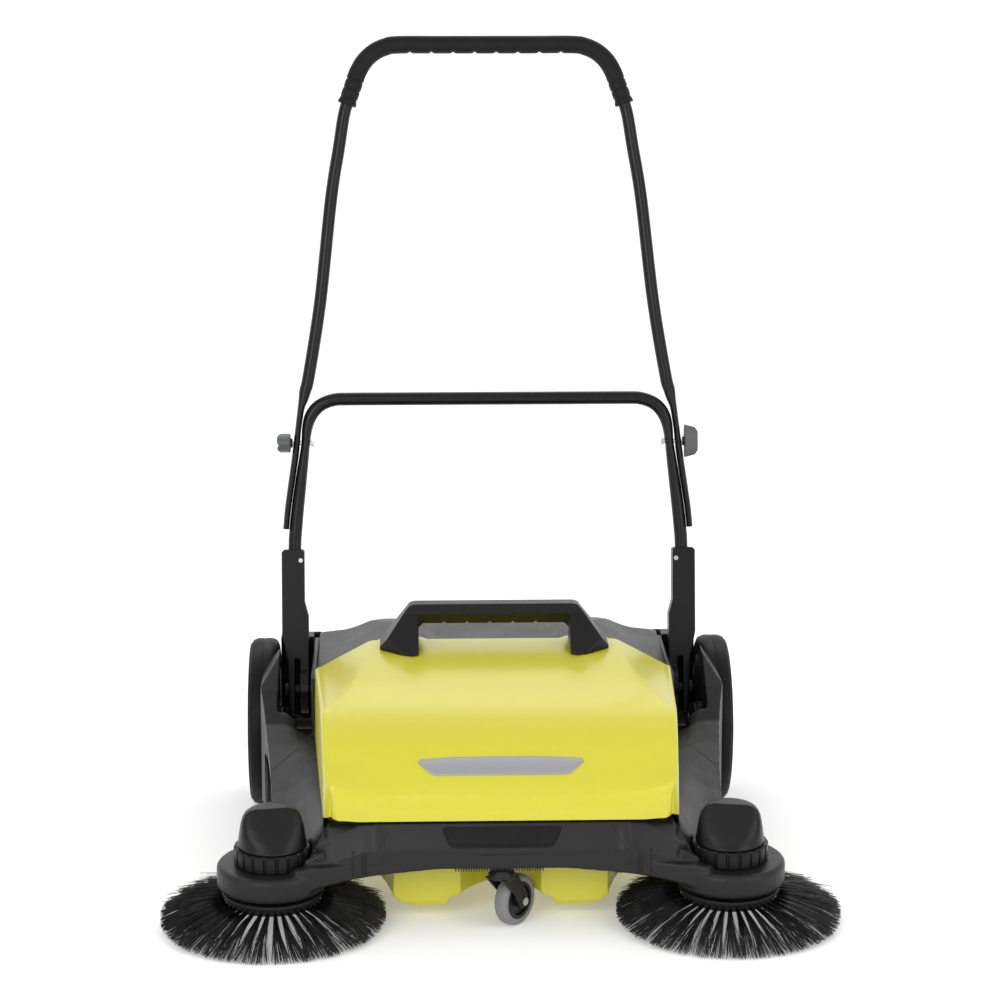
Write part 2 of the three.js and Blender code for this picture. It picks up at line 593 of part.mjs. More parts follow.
// ---- main wheels ----
const tyre = wheelLike([
  [94.3, WHEEL_IN], [110, WHEEL_IN], [116, 302], [WHEEL_R, 310], [WHEEL_R, 327], [115, 335],
  [108, WHEEL_OUT], [94.3, WHEEL_OUT], [94.3, WHEEL_IN],
], WHEEL_Y, WHEEL_R, 36);
putPair('tyre', geometry(tyre), 'rubber');
const rim = wheelLike([
  [6.3, 296.5], [22, 296.5], [22, 316], [89.5, 318], [91, 300], [93.5, 300], [93.5, 337],
  [91, 337], [89, 325], [26, 322], [26, 336.5], [6.3, 336.5], [6.3, 296.5],
], WHEEL_Y, WHEEL_R, 28);
putPair('rim', geometry(rim), 'satin');
const pulley = wheelLike([
  [6.3, 286.2], [21, 286.2], [18.6, 289], [18.6, 291], [21, 293.8], [21, 296.2], [6.3, 296.2],
  [6.3, 286.2],
], WHEEL_Y, WHEEL_R, 20);
putPair('belt_pulley', geometry(pulley), 'grey');
const hubCap = wheelLike([[0, 336.9], [25, 336.9], [24, 339.5], [16, 340.6], [0, 340.6]],
  WHEEL_Y, WHEEL_R, 24);
putPair('hub_cap', geometry(hubCap), 'satin');

// ---- roller and its drive ----
const towards = Math.atan2(ROLLER_Z - WHEEL_R, ROLLER_Y - WHEEL_Y);
const movedTo = (points, y, z) => points.map(([u, v]) => [u + y, v + z]);
const driveGear = prismX(movedTo(gearOutline(GEAR_TEETH, towards), WHEEL_Y, WHEEL_R), -311, -300)
  .subtract(cylinderX(WHEEL_Y, WHEEL_R, 22.3, -320, -290, 48));
put('drive_gear', geometry(driveGear), 'grey');
const pinionPhase = towards + Math.PI + Math.PI / PINION_TEETH;
const pinion = prismX(movedTo(gearOutline(PINION_TEETH, pinionPhase), ROLLER_Y, ROLLER_Z), -310.5, -299)
  .subtract(cylinderX(ROLLER_Y, ROLLER_Z, 6.3, -320, -290, 24));
put('roller_pinion', geometry(pinion), 'grey');
put('roller_shaft', geometry(cylinderX(ROLLER_Y, ROLLER_Z, 6, -311, 253, 20)), 'steel');
const core = wheelLike([[6.3, -235], [38, -235], [38, 235], [6.3, 235], [6.3, -235]],
  ROLLER_Y, ROLLER_Z, 20);
put('roller_core', geometry(core), 'grey');
const rollerBrush = wheelLike([
  [38.3, -ROLLER_HALF], [ROLLER_R, -ROLLER_HALF], [ROLLER_R, ROLLER_HALF], [38.3, ROLLER_HALF],
  [38.3, -ROLLER_HALF],
], ROLLER_Y, ROLLER_Z, 30);
put('roller_bristles', geometry(rollerBrush), 'bristle');

// ---- side brushes ----
const brushHub = solid(turned([
  [5.3, 38], [59.7, 38], [59.7, 47.3], [64, 47.3], [64, 52], [24, 52], [20, 54], [20, 74], [5.3, 74],
  [5.3, 38],
], 24));
putPair('brush_hub', placedOnBrush(brushHub), 'black');
const brushRing = solid(turned([
  [60, 36.5], [66, 35.5], [BRUSH_R - 1, 10.2], [BRUSH_R, 11], [BRUSH_R, 14], [66, 45], [63, 47],
  [60, 47], [60, 36.5],
], 36));
putPair('brush_bristles', placedOnBrush(brushRing), 'bristle');
const spindle = solid(turned([[0, 33], [9, 33], [9, 37.7], [5, 37.7], [5, 90], [0, 90]], 12));
putPair('brush_spindle', placedOnBrush(spindle), 'steel');
const ribs = [];
for (let i = 0; i < 20; i += 1) {
  for (const [step, r] of [[-0.42, 45.4], [-0.32, 48], [0.32, 48], [0.42, 45.4]]) {
    const a = 2 * Math.PI * (i + step) / 20;
    ribs.push([r * Math.cos(a), r * Math.sin(a)]);
  }
}
const ring = prismZ(ribs, 88.4, 110.5).subtract(cylinderZ(0, 0, 6, 80, 100, 24));
putPair('adjuster_ring', placedOnBrush(ring), 'satin');
const capSolid = solid(turned([[0, 110.9], [43, 110.9], [43, 115], [41, 124], [34, 152], [30, 157],
  [24, 159], [0, 159]], 28));
const facetCut = new THREE.BoxGeometry(160, 60, 160);
facetCut.translate(0, -30, 0);
facetCut.rotateX(-41 * D2R);
facetCut.rotateZ(-10 * D2R);
facetCut.translate(-7, -41, 114.5);
putPair('adjuster_cap', placedOnBrush(capSolid.subtract(solid(facetCut))), 'satin');

// ---- castor ----
const castorX = CASTOR_TRAIL * Math.cos(CASTOR_YAW * D2R);
const castorY = CASTOR_Y + CASTOR_TRAIL * Math.sin(CASTOR_YAW * D2R);
function placedOnCastor(body) {
  const g = geometry(body);
  g.rotateZ(CASTOR_YAW * D2R - Math.PI / 2);
  g.translate(0, CASTOR_Y, 0);
  return g;
}
// drawn with the trail along +Y and the wheel axle along X
const fork = union([
  cylinderZ(0, 0, 5.8, 70, 112, 20),
  solid(turned([[0, 68], [17, 68], [17, 74], [13, 79.5], [0, 79.5]], 32)),
  prismX([[-16, 70], [14, 70], [33, 42], [33, 26], [20, 24], [8, 46]], -15.5, -11.5),
  prismX([[-16, 70], [14, 70], [33, 42], [33, 26], [20, 24], [8, 46]], 11.5, 15.5),
]).subtract(cylinderX(CASTOR_TRAIL, CASTOR_R, 3.2, -20, 20, 16));
put('castor_fork', placedOnCastor(fork), 'black');
const castorAxle = cylinderX(CASTOR_TRAIL, CASTOR_R, 3, -17, 17, 16)
  .add(cylinderX(CASTOR_TRAIL, CASTOR_R, 5.2, 15.9, 18, 16))
  .add(cylinderX(CASTOR_TRAIL, CASTOR_R, 5.2, -18, -15.9, 16));
put('castor_axle', placedOnCastor(castorAxle), 'steel');
const castorCore = wheelLike([[3.2, -11], [9, -11], [9, -5], [20, -5], [20, -9], [23.5, -9],
  [23.5, 9], [20, 9], [20, 5], [9, 5], [9, 11], [3.2, 11], [3.2, -11]], CASTOR_TRAIL, CASTOR_R, 16);
put('castor_core', placedOnCastor(castorCore), 'black');
const castorTyre = wheelLike([[23.8, -9.5], [29, -9.5], [32, -7], [CASTOR_R, -3], [CASTOR_R, 3],
  [32, 7], [29, 9.5], [23.8, 9.5], [23.8, -9.5]], CASTOR_TRAIL, CASTOR_R, 24);
put('castor_tyre', placedOnCastor(castorTyre), 'greyRubber');

export default sweeper;
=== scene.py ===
import json
import math
import random

import bmesh
import bpy
from mathutils import Matrix, Vector
from mathutils.bvhtree import BVHTree


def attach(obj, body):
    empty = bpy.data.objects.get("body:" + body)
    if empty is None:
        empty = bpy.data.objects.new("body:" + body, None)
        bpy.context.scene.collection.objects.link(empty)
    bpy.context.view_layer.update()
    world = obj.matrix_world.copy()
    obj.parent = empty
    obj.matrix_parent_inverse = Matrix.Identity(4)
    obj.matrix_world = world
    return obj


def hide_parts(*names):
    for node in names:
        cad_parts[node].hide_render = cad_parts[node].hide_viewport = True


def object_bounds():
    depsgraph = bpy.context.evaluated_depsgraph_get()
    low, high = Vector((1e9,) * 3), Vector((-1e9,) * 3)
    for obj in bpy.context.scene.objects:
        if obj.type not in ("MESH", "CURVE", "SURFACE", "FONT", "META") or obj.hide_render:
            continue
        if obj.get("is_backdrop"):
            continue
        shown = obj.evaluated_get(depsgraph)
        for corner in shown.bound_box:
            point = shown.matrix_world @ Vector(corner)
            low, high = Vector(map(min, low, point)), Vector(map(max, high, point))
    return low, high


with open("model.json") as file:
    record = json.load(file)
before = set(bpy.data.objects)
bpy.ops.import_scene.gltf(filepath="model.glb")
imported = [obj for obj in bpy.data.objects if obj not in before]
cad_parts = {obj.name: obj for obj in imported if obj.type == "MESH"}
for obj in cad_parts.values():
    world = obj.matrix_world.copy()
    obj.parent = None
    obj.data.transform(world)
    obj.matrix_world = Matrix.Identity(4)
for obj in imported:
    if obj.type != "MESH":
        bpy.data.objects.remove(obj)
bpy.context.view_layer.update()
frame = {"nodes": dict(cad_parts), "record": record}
NODES = frame["nodes"]

MM = 0.001
SIDES = ((1, "right"), (-1, "left"))
BRUSH_X, BRUSH_Y, BRUSH_TILT, BRUSH_R = 287, -280, 4, 143
WHEEL_Y, WHEEL_R = 259, 118
ROLLER_Y, ROLLER_Z, ROLLER_R = 207.28, 77, 76.7
PIVOT_Y, PIVOT_Z, LEAN = 245, 167, 10.49
CASTOR_Y, CASTOR_R, CASTOR_TRAIL, CASTOR_YAW = -300, 33, 26, 50


def turn(degrees, axis):
    return Matrix.Rotation(math.radians(degrees), 4, axis)


def brush_frame(side):
    return Matrix.Translation((side * BRUSH_X, BRUSH_Y, 0)) @ turn(BRUSH_TILT, "X")


HANDLE = Matrix.Translation((0, PIVOT_Y, PIVOT_Z)) @ turn(-LEAN, "X")
CASTOR = Matrix.Translation((0, CASTOR_Y, 0)) @ turn(CASTOR_YAW - 90, "Z")
WHEEL = Matrix.Translation((0, WHEEL_Y, WHEEL_R))
MIRROR = Matrix.Diagonal((-1, 1, 1, 1))


# ---- materials ----

def material(name, colour, rough, grain=900, bump=0.15, vary=0.06, blotch=14, metal=0.0, coat=0.0, spec=0.5,
             wear=0.0):
    """Moulded or painted surface: fine grain in the normal, slow drift in roughness and colour."""
    mat = bpy.data.materials.new(name)
    mat.use_nodes = True
    nt = mat.node_tree
    bsdf = nt.nodes["Principled BSDF"]
    link = nt.links.new
    coord = nt.nodes.new("ShaderNodeTexCoord")

    def noise(scale, detail):
        n = nt.nodes.new("ShaderNodeTexNoise")
        n.inputs["Scale"].default_value = scale
        n.inputs["Detail"].default_value = detail
        link(coord.outputs["Object"], n.inputs["Vector"])
        return n

    def spread(source, low, high):
        m = nt.nodes.new("ShaderNodeMapRange")
        m.inputs["From Min"].default_value = 0.3
        m.inputs["From Max"].default_value = 0.7
        m.inputs["To Min"].default_value = low
        m.inputs["To Max"].default_value = high
        link(source.outputs["Fac"], m.inputs["Value"])
        return m

    fine = noise(grain, 3)
    slow = noise(blotch, 4)
    mid = noise(blotch * 9, 5)
    link(spread(slow, rough * (1 - vary * 2), rough * (1 + vary * 2)).outputs["Result"],
         bsdf.inputs["Roughness"])
    mix = nt.nodes.new("ShaderNodeMix")
    mix.data_type = "RGBA"
    mix.inputs["A"].default_value = [c * (1 - vary) for c in colour] + [1]
    mix.inputs["B"].default_value = [min(1, c * (1 + vary)) for c in colour] + [1]
    link(spread(mid, 0, 1).outputs["Result"], mix.inputs["Factor"])
    last = mix
    if wear:
        dust = noise(70, 8)
        dusty = nt.nodes.new("ShaderNodeMix")
        dusty.data_type = "RGBA"
        dusty.inputs["B"].default_value = (0.16, 0.15, 0.135, 1)
        link(last.outputs["Result"], dusty.inputs["A"])
        link(spread(dust, -wear, wear * 1.6).outputs["Result"], dusty.inputs["Factor"])
        last = dusty
    link(last.outputs["Result"], bsdf.inputs["Base Color"])
    bumps = nt.nodes.new("ShaderNodeBump")
    bumps.inputs["Strength"].default_value = bump
    bumps.inputs["Distance"].default_value = 0.0004
    link(fine.outputs["Fac"], bumps.inputs["Height"])
    link(bumps.outputs["Normal"], bsdf.inputs["Normal"])
    bsdf.inputs["Metallic"].default_value = metal
    bsdf.inputs["Coat Weight"].default_value = coat
    bsdf.inputs["Coat Roughness"].default_value = 0.12
    bsdf.inputs["Specular IOR Level"].default_value = spec
    return mat


MATS = {
    "yellow_plastic": material("yellow_plastic", (0.60, 0.55, 0.030), 0.30, 1200, 0.05, 0.012, 8, coat=0.15),
    "black_plastic": material("black_plastic", (0.0095, 0.0095, 0.0105), 0.42, 1300, 0.22, 0.06, 16,
                              spec=0.32),
    "satin_plastic": material("satin_plastic", (0.006, 0.006, 0.0065), 0.36, 1300, 0.16, 0.06, 18,
                              spec=0.24),
    "black_tube": material("black_tube", (0.006, 0.006, 0.0065), 0.28, 500, 0.08, 0.05, 20, coat=0.05,
                           spec=0.22),
    "grey_plastic": material("grey_plastic", (0.085, 0.087, 0.09), 0.50, 1000, 0.25, 0.06, 30),
    "silver_plate": material("silver_plate", (0.33, 0.335, 0.35), 0.36, 1500, 0.06, 0.02, 40, metal=0.3),
    "black_rubber": material("black_rubber", (0.006, 0.006, 0.0065), 0.55, 700, 0.45, 0.08, 30, spec=0.2),
    "tyre_rubber": material("tyre_rubber", (0.005, 0.005, 0.0055), 0.52, 600, 0.25, 0.10, 25, spec=0.16),
    "grey_rubber": material("grey_rubber", (0.19, 0.19, 0.195), 0.60, 700, 0.25, 0.07, 40),
    "bristle": material("bristle", (0.0055, 0.0055, 0.006), 0.34, 300, 0.05, 0.25, 60, spec=0.45),
    "steel": material("steel", (0.55, 0.55, 0.56), 0.30, 900, 0.12, 0.05, 60, metal=1.0),
}
DARK_STEEL = material("dark_steel", (0.03, 0.03, 0.03), 0.40, 900, 0.12, 0.05, 60, metal=0.7)


# ---- mesh helpers: everything is drawn in millimetres and stored in metres ----

def finish_piece(obj, body, slot, replaces=(), sharp=35, mat=None):
    mesh = obj.data
    mesh.materials.clear()
    mesh.materials.append(mat or MATS[slot])
    for p in mesh.polygons:
        p.use_smooth = True
    if sharp:
        mesh.set_sharp_from_angle(angle=math.radians(sharp))
    if obj.name not in bpy.context.scene.collection.objects:
        bpy.context.scene.collection.objects.link(obj)
    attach(obj, body)
    if replaces:
        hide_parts(*replaces)
    return obj


def mesh_from(name, verts, faces, place=None):
    """A mesh from millimetre points, with outward normals."""
    place = place or Matrix.Identity(4)
    mesh = bpy.data.meshes.new(name)
    mesh.from_pydata([(place @ Vector(v)) * MM for v in verts], [], faces)
    bm = bmesh.new()
    bm.from_mesh(mesh)
    bmesh.ops.recalc_face_normals(bm, faces=bm.faces)
    bm.to_mesh(mesh)
    bm.free()
    return mesh


def piece(name, verts, faces, body, slot, replaces=(), place=None, sharp=35, mat=None):
    obj = bpy.data.objects.new(name, mesh_from(name, verts, faces, place))
    return finish_piece(obj, body, slot, replaces, sharp, mat)


def evaluated(obj, *steps):
    """Runs the listed modifiers on obj and keeps the result as its mesh."""
    bpy.context.scene.collection.objects.link(obj)
    for kind, settings in steps:
        m = obj.modifiers.new(kind.lower(), kind)
        for key, value in settings.items():
            setattr(m, key, value)
    dg = bpy.context.evaluated_depsgraph_get()
    mesh = bpy.data.meshes.new_from_object(obj.evaluated_get(dg))
    obj.modifiers.clear()
    obj.data = mesh
    return obj


def weld(mesh, dist=2e-5):
    bm = bmesh.new()
    bm.from_mesh(mesh)
    bmesh.ops.remove_doubles(bm, verts=bm.verts, dist=dist)
    bmesh.ops.recalc_face_normals(bm, faces=bm.faces)
    bm.to_mesh(mesh)
    bm.free()


def soft_copy(name, node, voxel, rounds, shape=None, keep=1.0):
    """The CAD node as one moulded skin: voxels in mm, rounded by smoothing, then shaped point by point."""
    mesh = NODES[node].data.copy()
    weld(mesh)
    obj = bpy.data.objects.new(name, mesh)
    steps = [
        ("REMESH", {"mode": "VOXEL", "voxel_size": voxel * MM}),
        ("SMOOTH", {"factor": 0.5, "iterations": rounds}),
    ]
    if keep < 1:
        steps.append(("DECIMATE", {"decimate_type": "COLLAPSE", "ratio": keep}))
    evaluated(obj, *steps)
    if shape:
        for v in obj.data.vertices:
            v.co = shape(v.co / MM) * MM
    return obj


def lathe(profile, sides, axis="Z"):
    """Rings of (radius, height) joined in order; a zero radius closes to a point."""
    verts, rings, faces = [], [], []
    for r, h in profile:
        if r < 1e-6:
            rings.append([len(verts)])
            verts.append((0, 0, h))
            continue
        rings.append(list(range(len(verts), len(verts) + sides)))
        for i in range(sides):
            a = 2 * math.pi * i / sides
            verts.append((r * math.cos(a), r * math.sin(a), h))
    for low, high in zip(rings, rings[1:]):
        for i in range(sides):
            j = (i + 1) % sides
            if len(low) == 1:
                faces.append((low[0], high[j], high[i]))
            elif len(high) == 1:
                faces.append((low[i], low[j], high[0]))
            else:
                faces.append((low[i], low[j], high[j], high[i]))
    if axis == "X":
        verts = [(h, x, y) for x, y, h in verts]
    return verts, faces


def rounded_profile(points, radius, steps=3, closed=True):
    """Replaces each corner of a profile by a short arc."""
    out = []
    n = len(points)
    for i, p in enumerate(points):
        if not closed and i in (0, n - 1):
            out.append(tuple(p))
            continue
        p = Vector(p)
        a, b = Vector(points[i - 1]), Vector(points[(i + 1) % n])
        u, v = a - p, b - p
        r = min(radius, u.length * 0.45, v.length * 0.45)
        s, e = p + u.normalized() * r, p + v.normalized() * r
        for k in range(steps + 1):
            t = k / steps
            out.append(tuple(s * (1 - t) ** 2 + p * 2 * t * (1 - t) + e * t ** 2))
    return out


def turned(name, profile, sides, body, slot, replaces=(), place=None, axis="Z", radius=0.0, mat=None):
    """A closed turned piece; the profile runs once round the section."""
    ring = rounded_profile(profile, radius) if radius else list(profile)
    if ring[0][0] > 1e-6 or ring[-1][0] > 1e-6:
        ring.append(ring[0])
    verts, faces = lathe(ring, sides, axis)
    mesh = mesh_from(name, verts, faces, place)
    weld(mesh, 1e-6)
    obj = bpy.data.objects.new(name, mesh)
    return finish_piece(obj, body, slot, replaces, 40, mat)


def sweep(sections):
    """Closed tube through a list of rings with equal point counts."""
    verts, faces = [], []
    n = len(sections[0])
    for ring in sections:
        verts += [tuple(p) for p in ring]
    for k in range(len(sections) - 1):
        for i in range(n):
            j = (i + 1) % n
            faces.append((k * n + i, k * n + j, (k + 1) * n + j, (k + 1) * n + i))
    faces.append(tuple(range(n)))
    last = (len(sections) - 1) * n
    faces.append(tuple(last + i for i in range(n))[::-1])
    return verts, faces


def smooth_path(points, step):
    """Points along a Catmull-Rom curve, about one per step mm, each with all its numbers eased."""
    pts = [points[0]] + list(points) + [points[-1]]
    out = []
    for i in range(1, len(pts) - 2):
        p0, p1, p2, p3 = (Vector(p) for p in pts[i - 1:i + 3])
        n = max(1, round((p2 - p1).length / step))
        for k in range(n):
            t = k / n
            out.append(0.5 * (2 * p1 + (p2 - p0) * t + (2 * p0 - 5 * p1 + 4 * p2 - p3) * t * t
                              + (3 * p1 - p0 - 3 * p2 + p3) * t ** 3))
    out.append(Vector(points[-1]))
    return out


def planar_tube(path, sides=28, square=2.0):
    """Tube in the handle's plane. Each point is (x, along, radius across, radius fore and aft)."""
    rings = []
    for i, p in enumerate(path):
        a = path[max(0, i - 1)]
        b = path[min(len(path) - 1, i + 1)]
        d = Vector((b[0] - a[0], b[1] - a[1])).normalized()
        across = Vector((-d[1], d[0]))
        ring = []
        for k in range(sides):
            t = 2 * math.pi * k / sides
            c, s = math.cos(t), math.sin(t)
            c = math.copysign(abs(c) ** (2 / square), c)
            s = math.copysign(abs(s) ** (2 / square), s)
            ring.append((p[0] + across[0] * p[2] * c, p[3] * s, p[1] + across[1] * p[2] * c))
        rings.append(ring)
    return rings


def filaments(lines, radius, sides=3):
    """Thin tapered strands along polylines given in mm."""
    verts, faces = [], []
    for line in lines:
        start = len(verts)
        n = len(line)
        d = (line[-1] - line[0]).normalized()
        u = d.orthogonal().normalized()
        w = d.cross(u)
        for k, p in enumerate(line):
            r = radius * (1 - 0.35 * k / (n - 1))
            for i in range(sides):
                a = 2 * math.pi * i / sides
                verts.append(tuple(p + u * (r * math.cos(a)) + w * (r * math.sin(a))))
        for k in range(n - 1):
            for i in range(sides):
                j = (i + 1) % sides
                a, b = start + k * sides, start + (k + 1) * sides
                faces.append((a + i, a + j, b + j, b + i))
        faces.append(tuple(start + i for i in reversed(range(sides))))
        faces.append(tuple(start + (n - 1) * sides + i for i in range(sides)))
    return verts, faces


# ---- container ----

def table(points, v):
    """Straight-line reading of a table of (position, value)."""
    if v <= points[0][0]:
        return points[0][1]
    for (u0, a), (u1, b) in zip(points, points[1:]):
        if v <= u1:
            return a + (b - a) * (v - u0) / (u1 - u0)
    return points[-1][1]


def ease(v, low, high):
    t = min(1.0, max(0.0, (v - low) / (high - low)))
    return t * t * (3 - 2 * t)


def soft_min(a, b, k):
    h = max(k - abs(a - b), 0.0) / k
    return min(a, b) - h * h * k * 0.25


LID_PROFILE = [(-304.8, 143.5), (-305, 150), (-304.6, 157), (-302, 168.5), (-297.5, 178), (-284.5, 193.3),
               (-257, 219), (-237, 233.4), (-212, 245.9), (-184, 256), (-150, 264.5), (-80, 277.5),
               (0, 285.3), (48, 286.2), (58, 285.2)]
LID_HALF = [(-305.2, 213), (-304, 214.5), (-300, 217.5), (-294, 220.5), (-285, 222.5), (60, 241.5)]
LID_FOOT = [(-298, 148.5), (-295.5, 147), (-291, 145), (-284, 143.5), (-262, 143.2), (0, 150), (75, 153)]
LID_ROUND = 7
LID_BOTTOM, LID_CORNER = 143.5, 5
LID_WALL = 3.2
SHOULDER_X, SHOULDER_Z, SHOULDER_FALL = 165, 285.8, 0.5375
TUB_TOP = 168                         # the tub ends here, inside the lid


def lid_height(x, y, z):
    """Top of the container lid over the profile point (y, z), away from the side edges."""
    ax = abs(x)
    crease = 20 * max(0.0, (ax - 110) / 105) ** 2
    z += crease * ease(z, 144, 160) * (1 - ease(z, 160, 212))
    z += 1.5 * ease(ax, 176, 200) * (1 - ease(z, LID_BOTTOM, 153))
    z = soft_min(z, SHOULDER_Z - SHOULDER_FALL * (ax - SHOULDER_X), 3)
    z += 1.3 * (1 - ease(ax, 94, 97)) * ease(y, -150, -70)
    # bosses under the legs of the carrying handle, then the raised middle panel and its side channels
    z += 5 * ease(ax, 91, 99) * (1 - ease(ax, 145, 158)) * ease(y, 5, 45)
    z -= 1.5 * ease(ax, 98, 100.5) * (1 - ease(ax, 116, 118)) * ease(y, -110, -40)
    return z


line = [(p[0], p[1]) for p in smooth_path([(a, b, 0) for a, b in LID_PROFILE], 3.0)]
rows = []
for i, (py, pz) in enumerate(line):
    before, after = line[max(0, i - 1)], line[min(len(line) - 1, i + 1)]
    along = Vector((after[0] - before[0], after[1] - before[1])).normalized()
    half = table(LID_HALF, py)
    up = LID_BOTTOM + LID_CORNER - pz
    if up > 0:
        half -= LID_CORNER - math.sqrt(max(0.0, LID_CORNER ** 2 - up ** 2))
    flat = half - LID_ROUND
    right = [(flat * k / 45, py, lid_height(flat * k / 45, py, pz)) for k in range(46)]
    edge = right[-1][2]
    for k in range(1, 7):
        a = math.pi / 2 * k / 6
        back = LID_ROUND * (1 - math.cos(a))
        right.append((flat + LID_ROUND * math.sin(a), py + along[1] * back, edge - along[0] * back))
    x, y, low = right[-1]
    foot = min(low, table(LID_FOOT, y))
    for k in range(1, 8):
        t = k / 7
        right.append((x + 1.2 * t * (low > foot), y, low + (foot - low) * t))
    rows.append([(-x, y, z) for x, y, z in reversed(right[1:])] + right)
verts = [p for row in rows for p in row]
n = len(rows[0])
faces = [(r * n + i, r * n + i + 1, (r + 1) * n + i + 1, (r + 1) * n + i)
         for r in range(len(rows) - 1) for i in range(n - 1)]
lid = bpy.data.objects.new("container_lid", mesh_from("container_lid", verts, faces))
weld(lid.data, 1e-5)
if max(lid.data.polygons, key=lambda p: p.center.z).normal.z < 0:
    lid.data.flip_normals()
evaluated(lid, ("SOLIDIFY", {"thickness": LID_WALL * MM, "offset": -1.0}))
finish_piece(lid, "container", "yellow_plastic", ["container_shell"], 50)


def inside_lid(p):
    if p.z > 138:
        k = ease(p.z, 138, 142)
        nose = 1 - ease(p.y, -270, -258)
        p.x *= 1 - k * (0.03 + 0.07 * nose)
        p.y = max(p.y, -305 + 11 * k)
        p.z += 4 * nose * (1 - ease(p.z, 150, 165))
    return p


def cut_above(obj, height):
    bm = bmesh.new()
    bm.from_mesh(obj.data)
    bmesh.ops.bisect_plane(bm, geom=bm.verts[:] + bm.edges[:] + bm.faces[:],
                           plane_co=(0, 0, height * MM), plane_no=(0, 0, 1), clear_outer=True)
    bm.to_mesh(obj.data)
    bm.free()


tub = soft_copy("container_tub", "container_shell", 2.2, 4, inside_lid, 0.6)
cut_above(tub, TUB_TOP)
finish_piece(tub, "container", "yellow_plastic", sharp=None)


def notched(p):
    """Finger notches along the lower front edge of the carry handle."""
    if abs(p.x) < 80 and 309 < p.z < 331 and p.y > 18:
        near = min(abs(p.x + 5 - 30.8 * k) for k in range(-2, 3))
        depth = math.exp(-(near / 1.6) ** 2)
        p.z += 2.6 * depth * (1 - ease(p.z, 311, 322))
        p.y += 2.0 * depth * (1 - ease(p.y, 30, 44))
    return p


finish_piece(soft_copy("carry_strap", "carry_handle", 1.2, 3, notched), "container", "satin_plastic",
             ["carry_handle"], sharp=None)

plate = rounded_profile([(-104.5, 208), (-86, 195.6), (86, 195.6), (104.5, 208), (101.5, 211.5), (60, 213.5),
                         (0, 214), (-60, 213.5), (-101.5, 211.5)], 5, 4)


def plate_at(u, v, lift):
    """Point on the lid's front slope: u across, v the height, lift off the surface."""
    y = -284.5 + (v - 193.3) * 27.5 / 25.7
    return (u, y - 0.683 * lift, v + 0.73 * lift)


PLATE_MIDDLE = 204.5
rings = []
for inset, lift in ((0, -1.5), (0, 1.2), (0.7, 2.0), (1.8, 2.1), (2.4, 1.5)):
    rings.append([plate_at(u - math.copysign(min(abs(u), inset), u),
                           v + (PLATE_MIDDLE - v) * inset / 11, lift)
                  for u, v in plate])
verts, faces = sweep(rings)
piece("blank_plate", verts, faces, "container", "silver_plate", ["nameplate"], sharp=50)

# ---- chassis ----

PLATE_TOP = 228
ARM_RIDGE = [(150, 108), (172, 107), (228, 90)]
ARM_CREST = [(150, 140), (180, 139), (216, 134), (232, 122)]
ARM_RUN = [(150, 17), (228, 26)]


def arm_top(ax, y):
    """Height of the moulding between the front bar and the deck, sloping down to its front ridge."""
    low, high = table(ARM_RIDGE, ax), table(ARM_CREST, ax)
    return low + (high - low) * min(1.0, max(0.0, (y + 317) / table(ARM_RUN, ax)))


def arm_block(side):
    """Closed grid filling the corner of the chassis between bar, arm and deck."""
    xs = [150 + 8 * i for i in range(11)]
    ys = [-317, -311, -305, -299, -292, -284, -274, -264]
    top = [(side * x, y, arm_top(x, y)) for x in xs for y in ys]
    low = [(side * x, y, 92) for x in xs for y in ys]
    n, m = len(ys), len(top)
    faces = []
    for i in range(len(xs) - 1):
        for j in range(n - 1):
            a = i * n + j
            faces += [(a, a + 1, a + n + 1, a + n), (m + a, m + a + n, m + a + n + 1, m + a + 1)]
    rim = [i * n for i in range(len(xs))] + [(len(xs) - 1) * n + j for j in range(1, n)]
    rim += [i * n + n - 1 for i in reversed(range(len(xs) - 1))] + [j for j in reversed(range(1, n - 1))]
    for a, b in zip(rim, rim[1:] + rim[:1]):
        faces.append((a, b, m + b, m + a))
    return mesh_from("arm_block", top + low, faces)


def joined_copy(name, nodes, voxel, rounds, keep, extra=()):
    """Several CAD nodes of one body as one moulded skin."""
    bm = bmesh.new()
    for part in [NODES[node].data.copy() for node in nodes] + list(extra):
        weld(part)
        bm.from_mesh(part)
    mesh = bpy.data.meshes.new(name)
    bm.to_mesh(mesh)
    bm.free()
    obj = bpy.data.objects.new(name, mesh)
    return evaluated(obj, ("REMESH", {"mode": "VOXEL", "voxel_size": voxel * MM}),
                     ("SMOOTH", {"factor": 0.5, "iterations": rounds}),
                     ("DECIMATE", {"decimate_type": "COLLAPSE", "ratio": keep}))


CLAMP_Z = 511.2                       # height of the clamp bolts


def waisted(p):
    """Dip between the two lobes of the wing knob on the left."""
    if p.x < -283:
        p.x += 3.2 * math.exp(-((p.z - CLAMP_Z) / 2.6) ** 2) * ease(-p.x, 283, 296)
    return p


def eared(p):
    """Narrows the bracket's ear on the side of the container."""
    if abs(p.x) < 262:
        p.x = math.copysign(262 - (262 - abs(p.x)) * 0.55, p.x)
    return p


def winged(p):
    """Lowers the hood's shoulders and brings its rear corners out to the wheels."""
    ax = abs(p.x)
    p.z -= 7 * ease(ax, 145, 200) * ease(p.z, 150, 200)
    p.x += math.copysign(5 * ease(p.y, 296, 306) * ease(ax, 280, 290), p.x)
    return p


